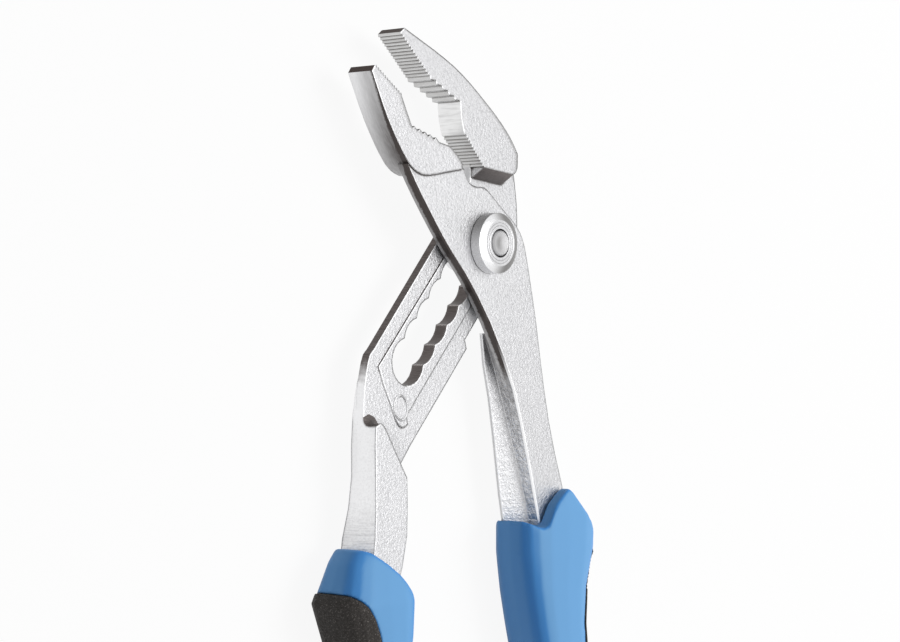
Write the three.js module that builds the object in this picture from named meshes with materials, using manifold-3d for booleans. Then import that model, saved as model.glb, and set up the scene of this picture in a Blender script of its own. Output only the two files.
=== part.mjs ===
// Water pump pliers with a push-button lay-on joint, in millimetres.
// X runs across the tool, Y towards the jaw tips and Z out of the button side.
// The origin lies on the pivot axis, on the flat rear face of the pivot bolt.

import * as THREE from 'three';
import { mergeVertices } from 'three/addons/utils/BufferGeometryUtils.js';
import Module from 'manifold-3d';

const wasm = await Module();
wasm.setup();

// Clearances
const runningGap = 0.3;
const fitGap = 0.3;
const pinGap = 0.2;
const seatGap = 0.1;
const releaseGap = 0.4;

// Forged arms
const plateThickness = 3.6;
const cheekThickness = 3.3;
const padRaise = 0.35;
const jawPadRaise = 0.35;
const edgeBevel = 0.4;
const plateLeftWidth = 11;
const plateRightWidth = 12.8;
const plateRearChamfer = 1;
const handleRearInset = 0.6;
const ledgeLip = 1.2;
const shoulderSlope = 2.5;
const shoulderLine = 18.9;
const shoulderTilt = -6;
const shoulderLeft = -2.4;
const coveRadius = 2;
const tangEnd = -188;
const gripOverhang = 12;

// Teeth
const fineToothDepth = 0.45;
const coarseToothDepth = 0.8;
const hookDepth = 0.7;
const tipFineTeeth = 14;
const coarseTeeth = 5;
const throatFineTeeth = 10;
const leftFineTeeth = 12;
const leftHooks = 5;

// Scalloped slot
const slotAngle = 227.15;
const slotPitch = 6.65;
const slotPositions = 7;
const slotHoleRadius = 5.8;
const slotStep = 15;

// Pivot
const lowerShankRadius = 3.8;
const upperShankRadius = 4.8;
const headRadius = 7.6;
const headSide = 2.75;
const headBevelRise = 0.65;
const headRingRadius = 5.75;
const headRingGroove = 0.12;
const buttonHoleRadius = 3.575;
const buttonRadius = 3.2;
const buttonProud = 0.4;
const buttonThickness = 1.7;
const buttonDish = 0.35;
const buttonEdge = 0.4;
const stemRadius = 1.5;
const stemTail = 1.1;
const crossPinRadius = 0.45;
const collarRadius = 5.5;
const collarHeight = 2;
const collarRecess = 0.2;
const capFloor = 0.8;
const capSpare = 0.8;
const capRadius = 6.8;
const capChamfer = 0.6;
const washerRadius = 6.9;
const washerThickness = 0.6;
const springFloorWall = 0.55;
const springWire = 0.5;
const springTurns = 3.5;
const boreEndWall = 0.9;

// Handle grips
const gripFrontProud = 4.4;
const gripDepth = 16.2;
const gripSquareness = 3.2;
const gripRings = 20;
const gripRingCrowding = 1.5;
const gripSides = 20;
const inlayThickness = 2;
const inlayProud = 0.3;

// Facets of round pieces
const roundSides = 32;
const curveSegments = 5;

// Levels worked out from the sizes above
const buttonTravel = collarRecess + collarHeight + releaseGap;
const plateRear = capFloor + capSpare + buttonTravel - collarRecess;
const plateFront = plateRear + plateThickness;
const bandFront = plateFront - padRaise;
const cheekRear = plateFront + runningGap;
const cheekFront = cheekRear + cheekThickness;
const jawPadFront = cheekFront + jawPadRaise;
const headBase = cheekFront + seatGap;
const headTop = headBase + headSide + headBevelRise;
const shankStep = plateFront + runningGap / 2;
const springFloor = shankStep + springFloorWall;
const buttonTop = headTop + buttonProud;
const buttonLow = buttonTop - buttonThickness;
const collarLow = plateRear + collarRecess;
const pinLevel = collarLow + collarHeight / 2;
const washerTop = plateRear - fitGap;
const capRim = washerTop - washerThickness - fitGap;
const gripMiddle = cheekFront + gripFrontProud - gripDepth / 2;

// Unit vectors along the slot, away from the jaws, and across it to the right
const slotRadians = THREE.MathUtils.degToRad(slotAngle);
const along = new THREE.Vector2(Math.cos(slotRadians), Math.sin(slotRadians));
const across = new THREE.Vector2(-along.y, along.x);

const at = (x, y) => new THREE.Vector2(x, y);
const inSlot = (a, c) => at(along.x * a + across.x * c, along.y * a + across.y * c);

// The slot's lowest seat, from which the slotted arm's handle and grip are placed
const slotRun = (slotPositions - 1) * slotPitch;
const lowSeat = inSlot(slotRun, 0);
const slottedTangReach = lowSeat.y - tangEnd;
const seat = (x, y) => at(lowSeat.x + x, lowSeat.y + y);
const fromSeat = ([y, left, right, ...rest]) => [y + lowSeat.y, left + lowSeat.x, right + lowSeat.x, ...rest];

// A closed solid from a geometry: merged, free of empty triangles, facing out
function solidOf(geometry) {
  const bare = new THREE.BufferGeometry();
  const flat = geometry.index ? geometry.toNonIndexed() : geometry;
  bare.setAttribute('position', flat.getAttribute('position').clone());
  const merged = mergeVertices(bare, 1e-4);
  const index = merged.index.array;
  const corners = merged.attributes.position.array;
  const kept = [];
  for (let i = 0; i < index.length; i += 3) {
    const [a, b, c] = [index[i], index[i + 1], index[i + 2]];
    if (a !== b && b !== c && a !== c) kept.push(a, b, c);
  }
  const make = (triVerts) =>
    new wasm.Manifold(new wasm.Mesh({ numProp: 3, vertProperties: corners, triVerts }));
  const solid = make(Uint32Array.from(kept));
  return solid.volume() > 0 ? solid : make(Uint32Array.from(kept).reverse());
}

// A node of the assembly
function piece(name, solid, colour, roughness, metalness) {
  const { vertProperties, triVerts } = solid.getMesh();
  const geometry = new THREE.BufferGeometry();
  geometry.setAttribute('position', new THREE.BufferAttribute(vertProperties, 3));
  geometry.setIndex(new THREE.BufferAttribute(triVerts, 1));
  geometry.computeVertexNormals();
  const material = new THREE.MeshStandardMaterial({ color: colour, roughness, metalness });
  const mesh = new THREE.Mesh(geometry, material);
  mesh.name = name;
  return mesh;
}

// A flat outline raised from low to high, with its edges broken by bevel
function prism(shape, low, high, bevel = 0, bevelSegments = 1) {
  const geometry = new THREE.ExtrudeGeometry(shape, {
    depth: high - low - 2 * bevel,
    curveSegments,
    bevelEnabled: bevel > 0,
    bevelThickness: bevel,
    bevelSize: bevel,
    bevelOffset: -bevel,
    bevelSegments,
  });
  geometry.translate(0, 0, low + bevel);
  return solidOf(geometry);
}

// A round piece about Z from its radius and height profile
function turned(profile) {
  const geometry = new THREE.LatheGeometry(profile.map(([r, z]) => at(r, z)), roundSides);
  geometry.rotateX(Math.PI / 2);
  return solidOf(geometry);
}

function rod(radius, length) {
  const geometry = new THREE.CylinderGeometry(radius, radius, length, 16);
  geometry.rotateZ(Math.PI / 2);
  return solidOf(geometry);
}

// A skin over rings of equal length, closed at both ends by fans
function loft(rings) {
  const count = rings[0].length;
  const corners = rings.flat();
  const faces = [];
  for (let r = 0; r + 1 < rings.length; r++) {
    for (let i = 0; i < count; i++) {
      const a = r * count + i;
      const b = r * count + ((i + 1) % count);
      faces.push(a, b, b + count, a, b + count, a + count);
    }
  }
  for (const end of [0, rings.length - 1]) {
    const middle = rings[end].reduce((sum, p) => sum.add(p), new THREE.Vector3()).divideScalar(count);
    const hub = corners.push(middle) - 1;
    for (let i = 0; i < count; i++) {
      const a = end * count + i;
      const b = end * count + ((i + 1) % count);
      faces.push(...(end === 0 ? [b, a, hub] : [a, b, hub]));
    }
  }
  const geometry = new THREE.BufferGeometry().setFromPoints(corners);
  geometry.setIndex(faces);
  return solidOf(geometry);
}

// A smooth run of points through the given ones, ends included
const smooth = (points, steps) => new THREE.SplineCurve(points).getPoints(steps);

// Rounded value at y between rows of [y, value, value, ...] that run downwards
function rowAt(rows, y) {
  const last = rows.length - 1;
  let i = 0;
  while (i < last - 1 && y < rows[i + 1][0]) i++;
  const t = THREE.MathUtils.clamp((y - rows[i][0]) / (rows[i + 1][0] - rows[i][0]), 0, 1);
  const ease = (k) => {
    const before = rows[Math.max(i - 1, 0)];
    const after = rows[Math.min(i + 2, last)];
    const span = rows[i + 1][0] - rows[i][0];
    const m0 = ((rows[i + 1][k] - before[k]) / (rows[i + 1][0] - before[0])) * span;
    const m1 = ((after[k] - rows[i][k]) / (after[0] - rows[i][0])) * span;
    const [p0, p1] = [rows[i][k], rows[i + 1][k]];
    const [t2, t3] = [t * t, t * t * t];
    return (2 * t3 - 3 * t2 + 1) * p0 + (t3 - 2 * t2 + t) * m0 + (3 * t2 - 2 * t3) * p1 + (t3 - t2) * m1;
  };
  return rows[0].slice(1).map((_, k) => ease(k + 1));
}

// Teeth along a straight gripping edge: each rises by depth to the left of the run and drops back
function toothRun(from, to, count, depth, lean) {
  const step = to.clone().sub(from).divideScalar(count);
  const rise = at(-step.y, step.x).setLength(depth);
  const points = [];
  for (let i = 0; i < count; i++) {
    const foot = from.clone().addScaledVector(step, i);
    points.push(foot);
    points.push(foot.clone().addScaledVector(step, lean).add(rise));
  }
  points.push(to.clone());
  return points;
}

// Edges of the front arm's cheek and handle, downwards, as [y, x left, x right]
const handleRows = [
  [-20, 0, 19.6],
  [-35, 9, 22.5],
  [-48, 13.7, 25.7],
  [-60, 17.2, 29.8],
  [-72, 20.6, 34],
  [-84, 22.8, 34.6],
  [-110, 26.6, 36],
  [-150, 33.5, 42.5],
  [tangEnd, 36, 44.5],
];

// The front arm's rear half below the plate, downwards:
// [y, x of the wall, x of the ledge's edge, height of the ledge's top above the rear]
const ledgeRows = [
  [-22.5, 5, 4.4, 1.2],
  [-27, 6.6, 4.6, 1.8],
  [-40, 11, 7.8, 2.6],
  [-56, 15.9, 10.6, 3.4],
  [-72, 20.4, 13.6, 4.2],
  [-80, 22.2, 17.5, 4],
  [-90, 24, 22.5, 3],
  [tangEnd, 36.2, 36, 3],
];

// The slotted arm's handle, downwards from the lowest seat:
// [y, x left of the flat front, x right, bulge of the left side]
const leftHandleRows = [
  [2.3, -11.5, -6.9, 0.3],
  [-6.7, -14.5, -5.9, 0.5],
  [-16.7, -15.8, -5.1, 0.6],
  [-30.7, -15.6, -4.1, 1.1],
  [-38.7, -15.7, -4.3, 3.2],
  [-45.7, -16.3, -4.7, 4.3],
  [-54.7, -17.9, -8.5, 3],
  [-80.7, -20.3, -12.5, 1],
  [-120.7, -33.9, -26.3, 1],
  [-slottedTangReach, -41.7, -34.5, 1],
].map(fromSeat);

// The grips, the slotted arm's from the lowest seat:
// [y, x of the inner side, x of the outer side, share of the full depth]
const frontGripRows = [
  [-58, 12.4, 36, 0.86],
  [-65, 12.4, 41.6, 0.94],
  [-71.5, 12.2, 45, 1],
  [-77, 12.3, 43.6, 1],
  [-85, 13.6, 40.6, 1],
  [-94, 15.6, 38.8, 0.98],
  [-112, 20.6, 40.6, 0.96],
  [-135, 27, 46, 1],
  [-160, 30, 50, 1],
  [tangEnd + gripOverhang / 2, 31.5, 50.5, 0.96],
  [tangEnd - gripOverhang / 2, 33, 49.5, 0.8],
  [tangEnd - gripOverhang, 37.5, 45.5, 0.45],
];
const slottedGripRows = [
  [-36.7, -1.9, -17.5, 0.5],
  [-42.7, -1.9, -21.5, 0.55],
  [-47.7, -1.9, -26.2, 0.8],
  [-51.2, -2.1, -30.1, 0.97],
  [-58.7, -2.5, -27.9, 1],
  [-66.7, -3.3, -24.9, 0.98],
  [-86.7, -8.9, -28.3, 0.96],
  [-108.7, -17.4, -36.1, 1],
  [-130.7, -23.9, -43.4, 1],
  [gripOverhang / 2 - slottedTangReach, -27.9, -47.4, 0.96],
  [-gripOverhang / 2 - slottedTangReach, -30.3, -47.9, 0.8],
  [-gripOverhang - slottedTangReach, -34.9, -44.5, 0.45],
].map(fromSeat);

// Upper rims of the grips, from the left to the right
const frontGripRim = [
  at(8, -69.6),
  at(13, -70.2),
  at(19, -72.2),
  at(23, -66.8),
  at(28.4, -62.9),
  at(30.2, -63.4),
];
const frontGripShoulder = at(48, -80);
const slottedGripRim = [
  seat(-32.9, -45.7),
  seat(-24.4, -43.8),
  seat(-20.5, -43.8),
  seat(-16.9, -45.3),
  seat(-9.3, -50.5),
  seat(-3.5, -56.7),
];
const slottedGripFoot = seat(7.1, -74.7);

// Upper ends and inner edges of the dark inlays, from the outer side round to the middle of the grip
const frontInlayEdge = [
  at(60, -78.5),
  at(42.6, -79),
  at(41, -82),
  at(39.2, -86.5),
  at(37.3, -92),
  at(36.2, -99),
  at(38, -122),
];
const frontInlayTail = [at(42, -160), at(44, tangEnd + 4), at(60, tangEnd - 1)];
const slottedInlayEdge = [
  seat(-47.9, -53.3),
  seat(-30.9, -53.3),
  seat(-24.9, -55.1),
  seat(-20.5, -60.1),
  seat(-17.8, -67.7),
  seat(-17.5, -78.7),
];
const slottedInlayTail = [
  seat(-27.9, -108.7),
  seat(-36.9, -135.7),
  seat(-40.9, 4 - slottedTangReach),
  seat(-57.9, -1 - slottedTangReach),
];

// One outline from several runs of points
const outline = (...runs) => new THREE.Shape(runs.flat());

// The gripping edge of the slotted arm's jaw, from the tip down to the throat
function rightJawTeeth() {
  const tip = at(-34, 49.6);
  const coarseStart = at(-23.2, 40);
  const flatStart = at(-11.6, 34.7);
  const flatEnd = at(-10, 26.6);
  const throatStart = at(-9.1, 26.4);
  const throatEnd = at(-2.2, 19.1);
  return [
    ...toothRun(tip, coarseStart, tipFineTeeth, -fineToothDepth, 0.5),
    ...toothRun(coarseStart, flatStart, coarseTeeth, -coarseToothDepth, 0.25).slice(1),
    ...smooth([flatStart, at(-11.2, 30.6), flatEnd], 4).slice(1),
    ...toothRun(throatStart, throatEnd, throatFineTeeth, -fineToothDepth, 0.5),
  ];
}

function slottedJaw() {
  const tilt = THREE.MathUtils.degToRad(shoulderTilt);
  const low = shoulderLine - shoulderSlope;
  const lowAt = (x) => low + (x - shoulderLeft) * Math.tan(tilt);
  const back = [at(11.5, 23), at(7.6, 27.8), at(0, 34.1), at(-13.75, 43), at(-32.6, 50.7)];
  const corner = [at(9.5, lowAt(9.5)), at(11, lowAt(11) + 1), at(11.4, low + 3.2), at(11.5, 23)];
  const foot = at(shoulderLeft, low);
  const shape = outline(smooth(corner, 8), smooth(back, 20).slice(1), rightJawTeeth(), [foot]);
  const block = prism(shape, plateRear, cheekFront);
  const profile = [
    at(-shoulderSlope - 20, bandFront),
    at(-shoulderSlope, bandFront),
    at(0, cheekFront),
    at(0, cheekFront + 5),
    at(-shoulderSlope - 20, cheekFront + 5),
  ];
  const wedge = new THREE.ExtrudeGeometry(new THREE.Shape(profile), { depth: 100, bevelEnabled: false });
  wedge.applyMatrix4(new THREE.Matrix4().set(0, 0, 1, -50, 1, 0, 0, 0, 0, 1, 0, 0, 0, 0, 0, 1));
  wedge.rotateZ(tilt).translate(shoulderLeft, shoulderLine, 0);
  return block.subtract(solidOf(wedge));
}

// The slot's outline: overlapping circles, walked down one side and up the other
function slotHole() {
  const half = slotPitch / 2;
  const cusp = Math.acos(half / slotHoleRadius);
  const last = slotPositions - 1;
  const points = [];
  const arc = (index, from, to) => {
    const steps = Math.max(2, Math.round(Math.abs(to - from) / THREE.MathUtils.degToRad(slotStep)));
    for (let i = 0; i < steps; i++) {
      const turn = from + ((to - from) * i) / steps;
      const reach = index * slotPitch + slotHoleRadius * Math.cos(turn);
      points.push(inSlot(reach, slotHoleRadius * Math.sin(turn)));
    }
  };
  for (let i = 0; i < last; i++) arc(i, i === 0 ? Math.PI : Math.PI - cusp, cusp);
  arc(last, Math.PI - cusp, -Math.PI + cusp);
  for (let i = last - 1; i >= 0; i--) arc(i, -cusp, i === 0 ? -Math.PI : -Math.PI + cusp);
  return new THREE.Path(points);
}

function slottedPlate() {
  const left = plateLeftWidth;
  const right = plateRightWidth;
  const shape = outline(
    smooth([at(15, 17.5), at(12.2, 22.4), at(7, 27.4)], 4),
    [at(-4, 24), at(-2.6, 18)],
    [inSlot(-8, -left - 0.8), inSlot(slotRun + 5, -left)],
    smooth([inSlot(slotRun + 6, -left), seat(-13.9, 0.9), seat(-15.5, -6.7), seat(-15.9, -16.7)], 8),
    [seat(-6.9, -28.7), seat(-2.5, -24.9)],
    [inSlot(slotRun + 14, right + 2), inSlot(22.2, right + 2), inSlot(21, right)],
    smooth([inSlot(12, right), inSlot(0, right), at(14.2, -4), at(16.2, 4), at(16, 11)], 14),
  );
  const padLeft = inSlot(slotRun + 7, -7.2);
  const pad = outline(
    [inSlot(-6, -7.2), padLeft],
    smooth([padLeft.clone().add(along), seat(-9.9, -2.7), seat(-8.9, -5.1)], 5),
    smooth([seat(-5.9, -10.7), seat(-4.1, -14.3), seat(-2.1, -15.9), seat(0.1, -15.1)], 8),
    [inSlot(slotRun + 10, 8.6), inSlot(-6, 8.6)],
  );
  const body = prism(shape, plateRear, bandFront + plateRearChamfer, plateRearChamfer);
  const slab = new THREE.BoxGeometry(200, 200, bandFront).translate(0, 0, bandFront / 2);
  return body.intersect(solidOf(slab)).add(prism(pad, bandFront - padRaise, plateFront));
}

// Cross-section of the slotted arm's handle: flat front and rear, left side bulging towards the rear
function leftHandleRing(y, grow) {
  const [left, right, bulge] = rowAt(leftHandleRows, y);
  const front = cheekFront + grow;
  const rear = plateRear - grow;
  const middle = (front + rear) / 2;
  const reach = (front - rear) / 2;
  const ring = [];
  for (let i = 0; i <= 6; i++) {
    const s = 1 - i / 3;
    ring.push([left - grow - bulge * ((1 - s * s) / 4 + (1 - s) / 2), middle + reach * s]);
  }
  ring.push([right + grow - handleRearInset, rear]);
  ring.push([right + grow + handleRearInset, middle]);
  ring.push([right + grow + handleRearInset / 2, front - edgeBevel]);
  ring.push([right + grow - edgeBevel / 2, front]);
  return ring.map(([x, z]) => new THREE.Vector3(x, y, z));
}

function leftHandle(grow) {
  const rings = [];
  const top = leftHandleRows[0][0];
  const end = tangEnd - grow;
  const count = 22;
  for (let i = 0; i <= count; i++) rings.push(leftHandleRing(top + ((end - top) * i) / count, grow));
  return loft(rings);
}

// Sweep of the milling cutter that leaves the plate's band below the handle's raised front
function milledBand() {
  const shape = outline(
    [seat(-42.9, 9.3), seat(-42.9, -15.5), seat(-18.9, -15.5)],
    smooth([seat(-16.9, -15.7), seat(-13.9, -14.3), seat(-12.5, -15.3), seat(-11.5, -16.7)], 6),
    [seat(-5.8, -25.6), seat(7.1, -44.8), seat(27.1, -44.8), seat(27.1, 9.3)],
  );
  return prism(shape, bandFront, cheekFront + 6, coveRadius, 3);
}

function slottedArm() {
  const handle = leftHandle(0).subtract(milledBand());
  const hollow = prism(new THREE.Shape(slotHole().getPoints()), plateRear - 1, cheekFront + 1);
  return handle.add(slottedPlate()).subtract(hollow).add(slottedJaw());
}

// The gripping edge of the front arm's jaw, from the heel up to the tip
function leftJawTeeth() {
  const heel = at(-15.9, 23.4);
  const hookStart = at(-20, 24.1);
  const hookEnd = at(-30, 26.9);
  const fineStart = at(-34, 34.4);
  const tip = at(-43.7, 40.8);
  return [
    at(-10.9, 19.2),
    at(-12.5, 20.9),
    heel,
    ...toothRun(hookStart, hookEnd, leftHooks, -hookDepth, 0.75),
    ...smooth([hookEnd, at(-31.9, 30.4), fineStart], 4).slice(1, -1),
    ...toothRun(fineStart, tip, leftFineTeeth, -fineToothDepth, 0.5),
  ];
}

function frontJaw() {
  const back = [at(-44.7, 39.4), at(-39.6, 29.6), at(-34.8, 22.4), at(-31.4, 18.4)];
  const heel = [at(-31.4, 18.4), at(-28.6, 16.6), at(-24.4, 15.8), at(-16.2, 17.1), at(-11.2, 17.9)];
  const shape = outline(leftJawTeeth(), smooth(back, 8), smooth(heel, 10).slice(1));
  return prism(shape, plateRear, jawPadFront);
}

// Outline of the cheek and of the handle's front half, with its tang
function cheekOutline(grow) {
  const leftCheek = [at(-31.8, 18.2), at(-26.8, 11.2), at(-17.4, -0.2), at(-10.2, -7.5), at(-5, -13.4)];
  const rightCheek = [at(18, -13), at(15.8, -4.2), at(14.2, 0.8), at(11.4, 4.8), at(5, 9.4), at(1.25, 12.2)];
  const crook = [at(-1.6, 13.9), at(-5.4, 14.1), at(-8.2, 15.4), at(-9.6, 18.2)];
  const levels = [];
  const top = handleRows[0][0];
  const end = tangEnd - grow;
  const count = 20;
  for (let i = 0; i <= count; i++) levels.push(top + ((end - top) * i) / count);
  const side = (k, sign) => levels.map((y) => at(rowAt(handleRows, y)[k] + sign * grow, y));
  const under = [at(-12.5, 19.5), at(-27, 22)];
  return outline(
    smooth(leftCheek, 12),
    side(0, -1),
    side(1, 1).reverse(),
    smooth([...rightCheek, ...crook], 24),
    under,
  );
}

// Cross-section of the front arm's rear half, with the ledge on its left side
function ledgeRing(y, grow) {
  const [wall, edge, rise] = rowAt(ledgeRows, y);
  const right = rowAt(handleRows, y)[1];
  const rear = plateRear - grow;
  const inside = cheekRear + cheekThickness / 3;
  const ledgeTop = plateRear + rise + grow;
  return [
    [wall - grow + edgeBevel, inside],
    [wall - grow + edgeBevel / 2, ledgeTop],
    [edge - grow, plateRear + ledgeLip + grow],
    [edge - grow + 0.5, rear],
    [right + grow - handleRearInset, rear],
    [right + grow - handleRearInset / 3, inside],
  ].map(([x, z]) => new THREE.Vector3(x, y, z));
}

function frontHandleRear(grow) {
  const rings = [];
  const top = ledgeRows[0][0];
  const end = tangEnd - grow;
  const count = 20;
  for (let i = 0; i <= count; i++) rings.push(ledgeRing(top + ((end - top) * i) / count, grow));
  return loft(rings);
}

function frontArm() {
  const cheek = prism(cheekOutline(0), cheekRear, cheekFront, edgeBevel);
  const bore = turned([
    [0, cheekRear - 1],
    [upperShankRadius + fitGap, cheekRear - 1],
    [upperShankRadius + fitGap, jawPadFront + 1],
    [0, jawPadFront + 1],
  ]);
  return cheek.add(frontJaw()).add(frontHandleRear(0)).subtract(bore);
}

// The handle's steel, grown by the fit, as the hollow inside each grip
const frontHollow = () =>
  prism(cheekOutline(fitGap), cheekRear - fitGap, cheekFront + fitGap).add(frontHandleRear(fitGap));
const slottedHollow = () => leftHandle(fitGap);

// Outer skin of a grip, grown outwards by grow
function gripSkin(rows, grow) {
  const rings = [];
  const top = rows[0][0];
  const end = rows[rows.length - 1][0] - grow;
  for (let i = 0; i <= gripRings; i++) {
    const t = i / gripRings;
    const y = top + (end - top) * (1 - (1 - t) ** gripRingCrowding);
    const [inner, outer, share] = rowAt(rows, y);
    const middle = (inner + outer) / 2;
    const width = Math.abs(outer - inner) / 2 + grow;
    const depth = (gripDepth / 2) * share + grow;
    const ring = [];
    for (let k = 0; k < gripSides; k++) {
      const turn = (2 * Math.PI * k) / gripSides;
      const bend = (v) => Math.sign(v) * Math.abs(v) ** (2 / gripSquareness);
      ring.push(
        new THREE.Vector3(
          middle + width * bend(Math.cos(turn)),
          y,
          gripMiddle + depth * bend(Math.sin(turn)),
        ),
      );
    }
    rings.push(ring);
  }
  return loft(rings);
}

// A grip in two pieces: the sleeve with its pocket, and the inlay that lies in it
function grip(rows, rim, edge, tail, hollow) {
  const below = gripMiddle - gripDepth;
  const above = gripMiddle + gripDepth;
  const cut = (points) => prism(new THREE.Shape(points), below, above);
  const inlayArea = [...smooth(edge, 16), ...smooth(tail, 10)];
  const skin = gripSkin(rows, 0).intersect(cut(rim));
  const grownArea = inlayArea.map((p, i) => {
    const before = inlayArea[Math.max(i - 1, 0)];
    const after = inlayArea[Math.min(i + 1, inlayArea.length - 1)];
    const run = after.clone().sub(before).normalize();
    const out = rim[0].x < 0 ? 1 : -1;
    return p.clone().add(at(-run.y, run.x).multiplyScalar(out * fitGap));
  });
  const pocket = cut(grownArea).subtract(gripSkin(rows, -inlayThickness));
  const inlay = gripSkin(rows, inlayProud).intersect(cut(inlayArea));
  return {
    sleeve: skin.subtract(pocket).subtract(hollow),
    inlay: inlay.subtract(gripSkin(rows, fitGap - inlayThickness)),
  };
}

// The pivot
function pivotBolt() {
  const ringMiddle = (headRingRadius + buttonHoleRadius) / 2;
  const body = turned([
    [0, 0],
    [lowerShankRadius, 0],
    [lowerShankRadius, shankStep],
    [upperShankRadius, shankStep],
    [upperShankRadius, headBase],
    [headRadius, headBase],
    [headRadius, headBase + headSide],
    [headRingRadius, headTop],
    [ringMiddle + headRingGroove, headTop],
    [ringMiddle, headTop - headRingGroove],
    [ringMiddle - headRingGroove, headTop],
    [buttonHoleRadius, headTop],
    [buttonHoleRadius, springFloor],
    [stemRadius + fitGap, springFloor],
    [stemRadius + fitGap, boreEndWall],
    [0, boreEndWall],
  ]);
  const reach = crossPinRadius + pinGap;
  const windowLow = pinLevel - buttonTravel - reach;
  const windowHigh = pinLevel + reach;
  const opening = new THREE.BoxGeometry(4 * lowerShankRadius, 2 * reach, windowHigh - windowLow);
  opening.translate(0, 0, (windowLow + windowHigh) / 2);
  return body.subtract(solidOf(opening));
}

function pushButton() {
  const body = turned([
    [0, pinLevel - stemTail],
    [stemRadius, pinLevel - stemTail],
    [stemRadius, buttonLow],
    [buttonRadius, buttonLow],
    [buttonRadius, buttonTop - buttonEdge],
    [buttonRadius - buttonEdge, buttonTop],
    [buttonRadius - 2 * buttonEdge, buttonTop],
    [buttonRadius / 3, buttonTop - buttonDish],
    [0, buttonTop - buttonDish],
  ]);
  return body.subtract(rod(crossPinRadius + pinGap, 4 * stemRadius).translate([0, 0, pinLevel]));
}

function ringPiece(inner, outer, low, high) {
  return turned([
    [inner, low],
    [outer, low],
    [outer, high],
    [inner, high],
    [inner, low],
  ]);
}

function lockingCollar() {
  const ring = ringPiece(lowerShankRadius + fitGap, collarRadius, collarLow, collarLow + collarHeight);
  return ring.subtract(rod(crossPinRadius + pinGap, 4 * collarRadius).translate([0, 0, pinLevel]));
}

const crossPin = () => rod(crossPinRadius, 2 * (collarRadius - fitGap)).translate([0, 0, pinLevel]);

function rearCap() {
  const hole = lowerShankRadius + seatGap;
  const cavity = collarRadius + fitGap;
  return turned([
    [hole, 0],
    [capRadius - capChamfer, 0],
    [capRadius, capChamfer],
    [capRadius, capRim],
    [cavity, capRim],
    [cavity, capFloor],
    [hole, capFloor],
    [hole, 0],
  ]);
}

const thrustWasher = () =>
  ringPiece(collarRadius + fitGap, washerRadius, washerTop - washerThickness, washerTop);

// The spring under the button: one wire wound from the floor up to the button, ends along the turns
class Coil extends THREE.Curve {
  getPoint(t, target = new THREE.Vector3()) {
    const radius = buttonHoleRadius - fitGap - springWire / 2;
    const low = springFloor + fitGap + springWire / 2;
    const high = buttonLow - fitGap - springWire / 2;
    const turn = 2 * Math.PI * springTurns * t;
    return target.set(radius * Math.cos(turn), radius * Math.sin(turn), low + (high - low) * t);
  }
}

function returnSpring() {
  const coil = new Coil();
  const wire = new THREE.Shape();
  wire.absarc(0, 0, springWire / 2, 0, 2 * Math.PI);
  const steps = Math.round(8 * springTurns);
  const geometry = new THREE.ExtrudeGeometry(new THREE.Shape(wire.getSpacedPoints(5).slice(0, -1)), {
    steps,
    extrudePath: coil,
    bevelEnabled: false,
  });
  const points = coil.getPoints(steps * 4);
  let least = Infinity;
  points.forEach((p, i) => {
    for (let k = i + steps * 4 / springTurns / 2; k < points.length; k++) {
      least = Math.min(least, p.distanceTo(points[Math.floor(k)]) - springWire);
    }
  });
  console.log(`least gap between the spring's turns: ${least.toFixed(2)} mm`);
  return solidOf(geometry);
}

const forgedSteel = 0xd9d9dc;
const turnedSteel = 0xc4c6ca;
const darkSteel = 0x6c6a69;
const gripBlue = 0x4f8fcf;
const gripDark = 0x37322f;

const frontFoot = tangEnd - 2 * gripOverhang;
const slottedFoot = -slottedTangReach - 2 * gripOverhang;
const frontRim = [...smooth(frontGripRim, 18), frontGripShoulder, at(80, frontFoot), at(-10, frontFoot)];
const slottedRim = [
  ...smooth(slottedGripRim, 14),
  slottedGripFoot,
  seat(7, slottedFoot),
  seat(-73, slottedFoot),
];
const frontGrip = grip(frontGripRows, frontRim, frontInlayEdge, frontInlayTail, frontHollow());
const slottedGrip = grip(slottedGripRows, slottedRim, slottedInlayEdge, slottedInlayTail, slottedHollow());

const pliers = new THREE.Group();
pliers.name = 'water_pump_pliers';
pliers.add(
  piece('front_arm', frontArm(), forgedSteel, 0.45, 0.9),
  piece('slotted_arm', slottedArm(), forgedSteel, 0.45, 0.9),
  piece('pivot_bolt', pivotBolt(), turnedSteel, 0.3, 1),
  piece('push_button', pushButton(), turnedSteel, 0.3, 1),
  piece('locking_collar', lockingCollar(), darkSteel, 0.4, 1),
  piece('cross_pin', crossPin(), darkSteel, 0.4, 1),
  piece('return_spring', returnSpring(), darkSteel, 0.4, 1),
  piece('thrust_washer', thrustWasher(), turnedSteel, 0.4, 1),
  piece('rear_cap', rearCap(), turnedSteel, 0.3, 1),
  piece('front_grip_sleeve', frontGrip.sleeve, gripBlue, 0.45, 0),
  piece('front_grip_inlay', frontGrip.inlay, gripDark, 0.85, 0),
  piece('slotted_grip_sleeve', slottedGrip.sleeve, gripBlue, 0.45, 0),
  piece('slotted_grip_inlay', slottedGrip.inlay, gripDark, 0.85, 0),
);

export default pliers;
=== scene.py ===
"""Looks of the water pump pliers: forged arms, turned pivot, moulded grips, studio and camera."""

import math

import bpy
from mathutils import Matrix, Vector
from mathutils.bvhtree import BVHTree


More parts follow.
